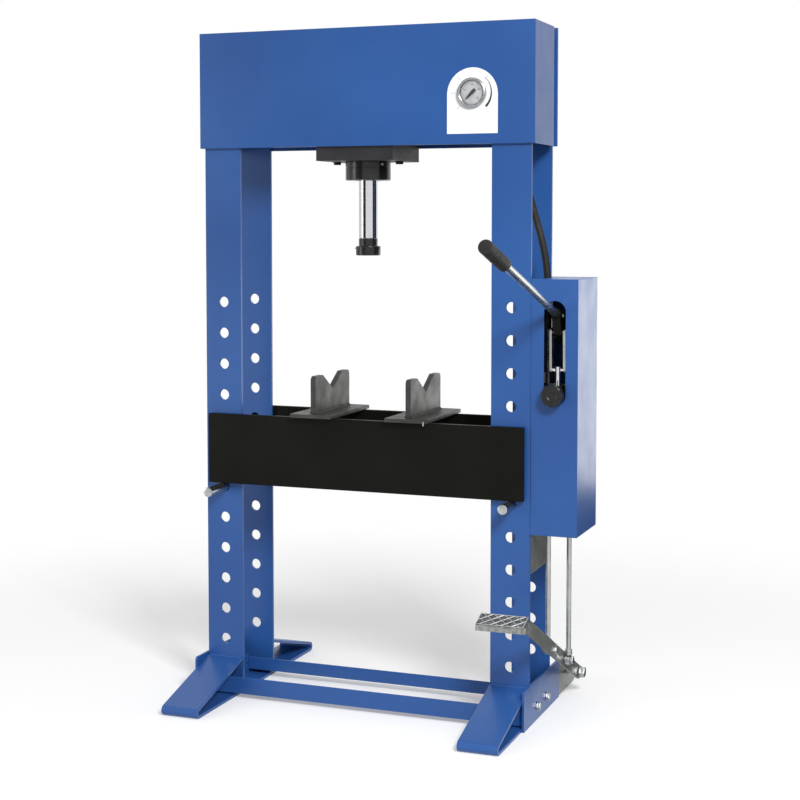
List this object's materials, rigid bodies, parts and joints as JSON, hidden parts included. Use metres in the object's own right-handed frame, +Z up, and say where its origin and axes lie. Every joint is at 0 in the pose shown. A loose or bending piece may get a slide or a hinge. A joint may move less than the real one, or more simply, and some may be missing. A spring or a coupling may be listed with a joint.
{
  "type": "hydraulic shop press",
  "caption": "H-frame hydraulic shop press with a hand lever and foot pedal pump, top cylinder and ram, gauge, height-adjustable bed on pins and V-blocks",
  "frame": {"origin": "on the floor, below the middle of the part's box", "axes": "+Z up, -Y to the front where the operator stands, +X to the pump's side"},
  "size_m": [1.004, 0.9906, 1.705],
  "materials": {
    "blue_paint": "semi-gloss powder coat",
    "black_paint": "satin black paint",
    "bare_steel": "dark phosphated steel",
    "zinc": "bright zinc plate",
    "chrome": "hard chrome, polished",
    "rubber": "matt black rubber",
    "plastic": "moulded black plastic",
    "glass": "clear"
  },
  "bodies": {
    "frame": {"column_front_left": "blue_paint", "column_back_left": "blue_paint", "column_front_right": "blue_paint", "column_back_right": "blue_paint", "foot_left": "blue_paint", "foot_right": "blue_paint", "side_plate_left": "blue_paint", "side_plate_right": "blue_paint", "foot_cleat_left": "blue_paint", "foot_cleat_right": "blue_paint", "foot_bolt_front_left": "zinc", "foot_bolt_back_left": "zinc", "foot_bolt_front_right": "zinc", "foot_bolt_back_right": "zinc", "rail_front": "blue_paint", "rail_back": "blue_paint", "beam_front": "blue_paint", "beam_back": "blue_paint", "beam_end_left": "blue_paint", "beam_end_right": "blue_paint", "cylinder_mount": "bare_steel", "mount_bolt_left": "zinc", "mount_bolt_right": "zinc", "cylinder_barrel": "black_paint", "gauge_case": "black_paint", "gauge_lens": "glass", "hydraulic_hose": "rubber", "pump_housing": "blue_paint", "pump_mount_plate": "zinc", "pump_body": "black_paint", "oil_reservoir": "black_paint", "lever_yoke": "zinc", "lever_pivot_pin": "zinc", "pedal_bracket": "zinc", "pedal_pivot_stud": "zinc"},
    "bed": {"bed_front_plate": "black_paint", "bed_back_plate": "black_paint", "bed_spacer_left": "black_paint", "bed_spacer_right": "black_paint"},
    "v_block_left": {"v_block_left": "bare_steel"},
    "v_block_right": {"v_block_right": "bare_steel"},
    "bed_pin_left": {"bed_pin_left": "zinc"},
    "bed_pin_right": {"bed_pin_right": "zinc"},
    "ram": {"piston_rod": "chrome", "ram_nose": "black_paint"},
    "hand_lever": {"lever_socket": "black_paint", "lever_bar": "zinc", "lever_grip": "rubber", "link_pin": "zinc"},
    "plunger": {"pump_plunger": "chrome", "link_left": "zinc", "link_right": "zinc"},
    "pedal": {"pedal_arm": "zinc", "pedal_tread": "zinc", "pull_rod_bolt": "zinc", "return_rod_bolt": "zinc"},
    "pull_rod": {"pull_rod": "zinc"},
    "return_rod": {"return_rod": "zinc"},
    "release_knob": {"release_knob": "plastic"},
    "gauge_needle": {"gauge_needle": "black_paint"}
  },
  "joints": [
    {"name": "hand_lever_pivot", "type": "hinge", "parent": "frame", "child": "hand_lever", "pos_m": [0.44465, 0.12439, 0.945], "axis": [1, 0, 0], "range_deg": [0, 42]},
    {"name": "plunger_slide", "type": "slide", "parent": "frame", "child": "plunger", "axis": [0, 0, -1], "range_m": [0, 0.029]},
    {"name": "ram_slide", "type": "slide", "parent": "frame", "child": "ram", "axis": [0, 0, -1], "range_m": [-0.14, 0.05]},
    {"name": "bed_lift", "type": "slide", "parent": "frame", "child": "bed", "axis": [0, 0, 1], "range_m": [0, 0.32]},
    {"name": "v_block_left_slide", "type": "slide", "parent": "bed", "child": "v_block_left", "axis": [1, 0, 0], "range_m": [-0.15, 0.012]},
    {"name": "v_block_right_slide", "type": "slide", "parent": "bed", "child": "v_block_right", "axis": [1, 0, 0], "range_m": [-0.05, 0.15]},
    {"name": "bed_pin_left_pull", "type": "slide", "parent": "frame", "child": "bed_pin_left", "axis": [0, -1, 0], "range_m": [0, 0.22]},
    {"name": "bed_pin_right_pull", "type": "slide", "parent": "frame", "child": "bed_pin_right", "axis": [0, -1, 0], "range_m": [0, 0.22]},
    {"name": "pedal_pivot", "type": "hinge", "parent": "frame", "child": "pedal", "pos_m": [0.42665, 0.35239, 0.057], "axis": [1, 0, 0], "range_deg": [0, 20], "stiffness_Nm_per_rad": 12, "springref_deg": -35.52},
    {"name": "pull_rod_eye", "type": "hinge", "parent": "pedal", "child": "pull_rod", "pos_m": [0.44245, 0.20739, 0.1282], "axis": [1, 0, 0], "range_deg": [-22.5, 0]},
    {"name": "return_rod_eye", "type": "hinge", "parent": "pedal", "child": "return_rod", "pos_m": [0.41535, 0.11239, 0.17484], "axis": [1, 0, 0], "range_deg": [-24, 0]},
    {"name": "release_valve_turn", "type": "hinge", "parent": "frame", "child": "release_knob", "pos_m": [0.44465, 0.03339, 0.811], "axis": [0, -1, 0], "range_deg": [0, 180]},
    {"name": "gauge_needle_turn", "type": "hinge", "parent": "frame", "child": "gauge_needle", "pos_m": [0.23865, 0.04409, 1.535], "axis": [0, 1, 0], "range_deg": [0, 270]}
  ],
  "couplings": [
    {"joint": "plunger_slide", "follows": "hand_lever_pivot", "m_per_rad": 0.03911},
    {"joint": "pull_rod_eye", "follows": "pedal_pivot", "ratio": -1.098},
    {"joint": "return_rod_eye", "follows": "pedal_pivot", "ratio": -1.18}
  ]
}
